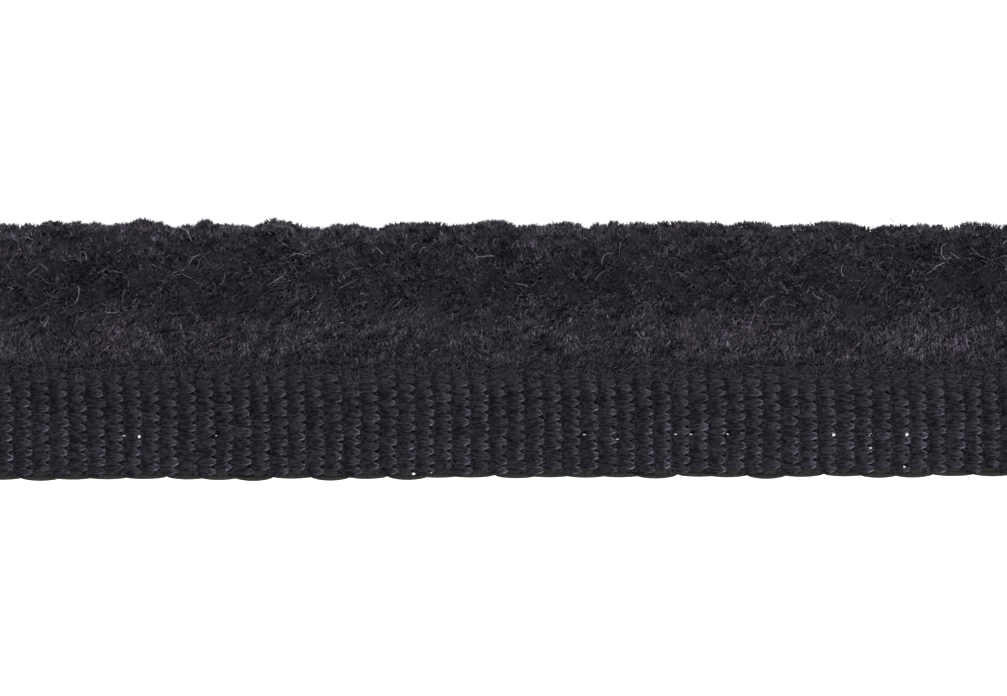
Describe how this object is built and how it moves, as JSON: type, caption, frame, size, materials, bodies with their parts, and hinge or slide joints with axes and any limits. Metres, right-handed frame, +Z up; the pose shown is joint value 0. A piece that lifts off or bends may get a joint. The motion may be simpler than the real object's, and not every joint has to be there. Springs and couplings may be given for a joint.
{
  "type": "velvet piping",
  "caption": "Cut length of flanged piping: a round bead of dense velvet pile with a flat ribbed tape along one side for sewing into a seam.",
  "frame": {"origin": "middle of the underside, on the surface that the piping lies on", "axes": "+X along the piping, +Y from the tape towards the bead, +Z up from the surface"},
  "size_m": [0.1012, 0.0226, 0.01],
  "materials": {
    "velvet_pile": "black cut pile, soft sheen at grazing angles",
    "ribbed_weave": "black ribbed woven tape, satin yarns"
  },
  "bodies": {
    "root": {"velvet_bead": "velvet_pile", "flange_tape": "ribbed_weave"}
  },
  "joints": []
}
